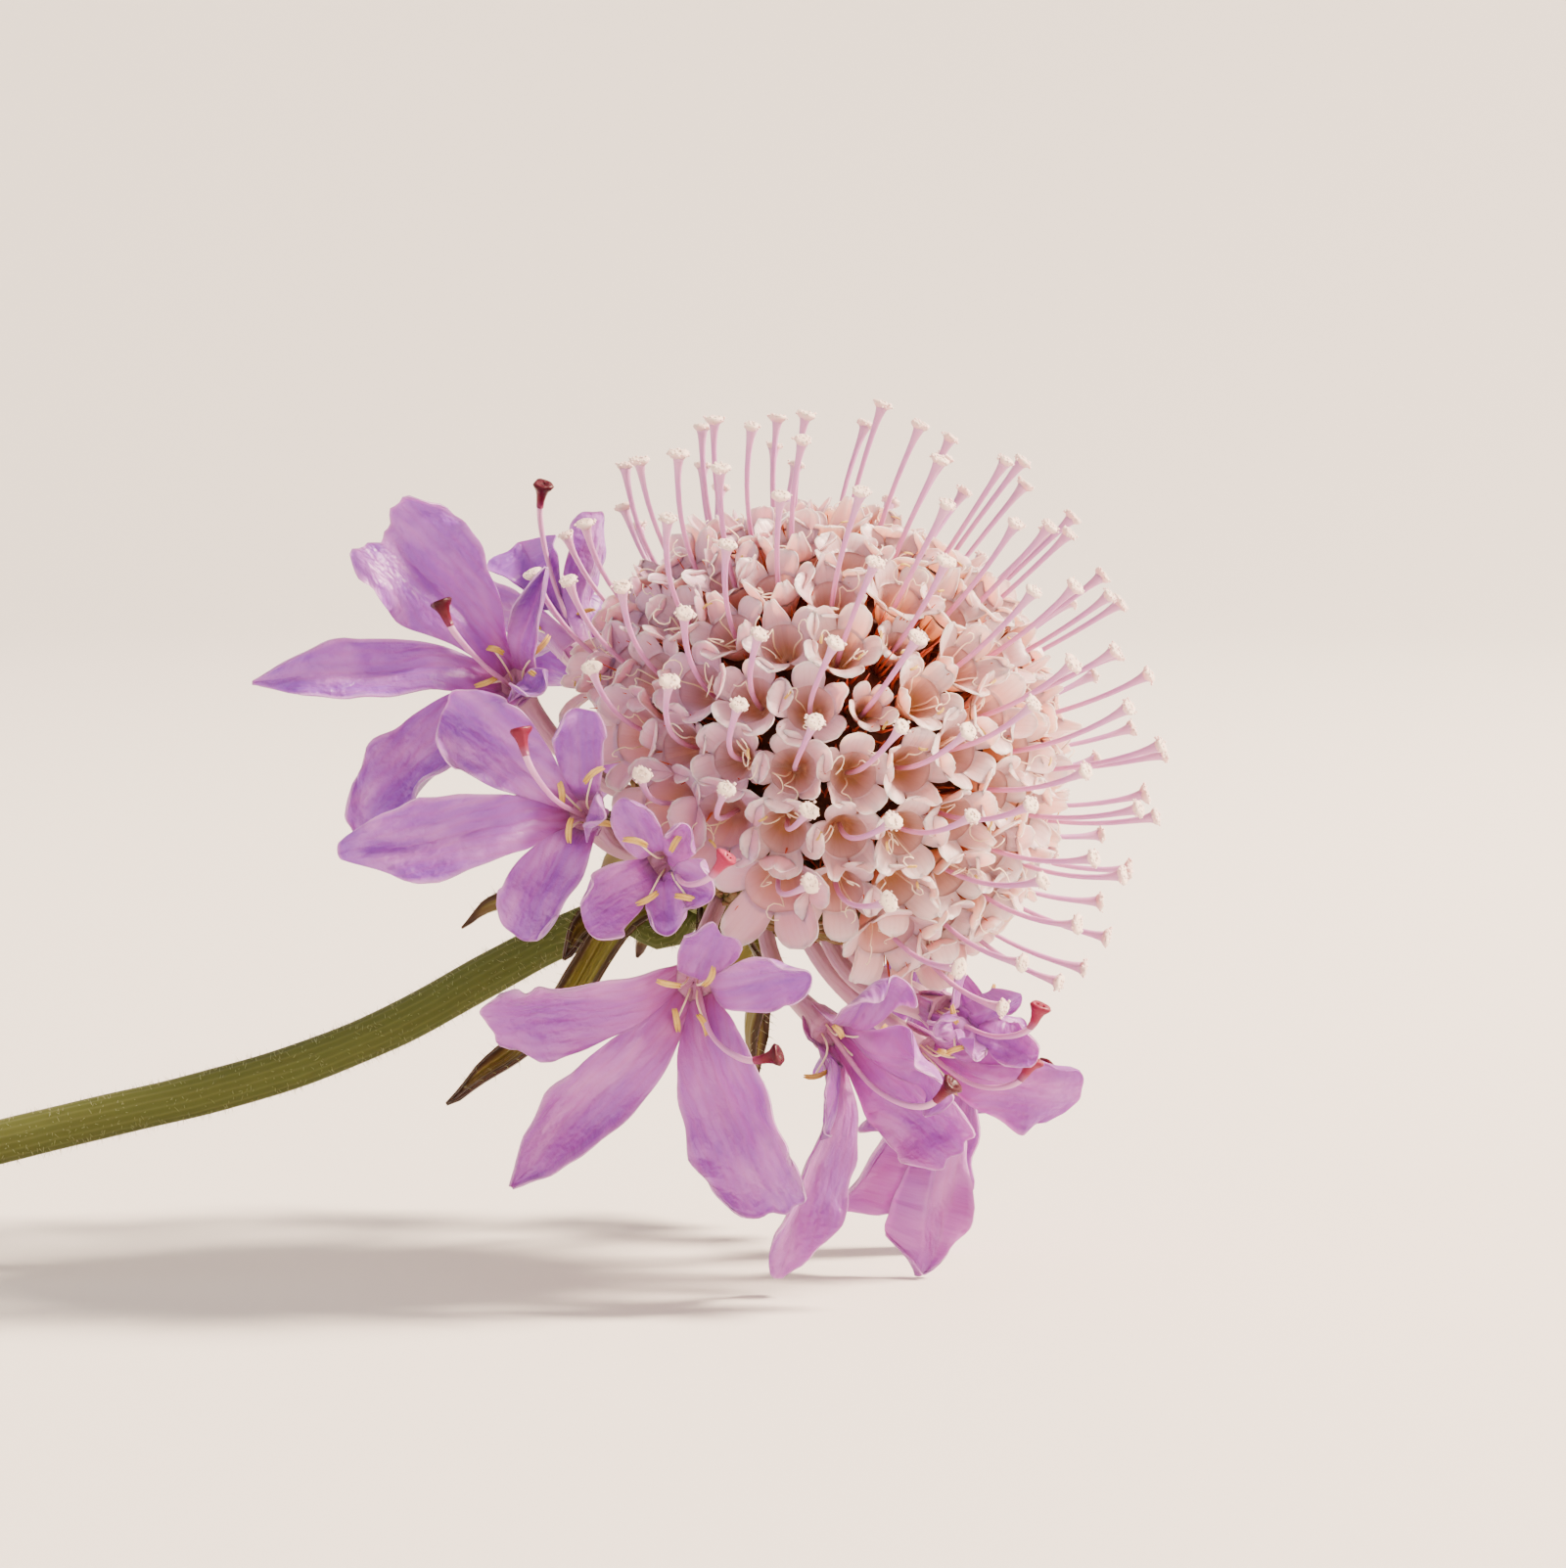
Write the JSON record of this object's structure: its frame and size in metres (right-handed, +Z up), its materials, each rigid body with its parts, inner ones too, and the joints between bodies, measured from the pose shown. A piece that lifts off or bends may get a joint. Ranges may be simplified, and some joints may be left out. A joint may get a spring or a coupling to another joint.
{
  "type": "scabiosa flower",
  "caption": "Cut pincushion flower lying down: domed head of small lobed florets with long styles, ruffled lilac ray florets, narrow bracts and a slender bending stalk.",
  "frame": {"origin": "under the middle of the lying flower, on the surface that it lies on", "axes": "+X along the stalk from its cut end to the head, +Z up from the surface, -Y to the side that the head is turned to"},
  "size_m": [0.1054, 0.0414, 0.0442],
  "materials": {
    "disc_pink": "waxy, thin, slightly see-through",
    "petal_lilac": "soft matt with a faint sheen",
    "style_lilac": "smooth, slightly waxy",
    "stigma_cream": "grainy matt",
    "stigma_crimson": "grainy matt",
    "anther_ochre": "dusty matt",
    "bristle_red": "stiff, slightly glossy",
    "bract_olive": "downy matt",
    "stem_green": "ridged, downy, half matt"
  },
  "bodies": {
    "root": {"disc_head": "disc_pink", "involucre": "bract_olive", "stem": "stem_green", "ray_floret_01": "petal_lilac", "ray_floret_02": "petal_lilac", "ray_floret_03": "petal_lilac", "ray_floret_04": "petal_lilac", "ray_floret_05": "petal_lilac", "ray_floret_06": "petal_lilac", "ray_floret_07": "petal_lilac", "ray_floret_08": "petal_lilac", "ray_floret_09": "petal_lilac", "ray_floret_10": "petal_lilac", "ray_floret_11": "petal_lilac", "ray_floret_12": "petal_lilac"}
  },
  "joints": []
}
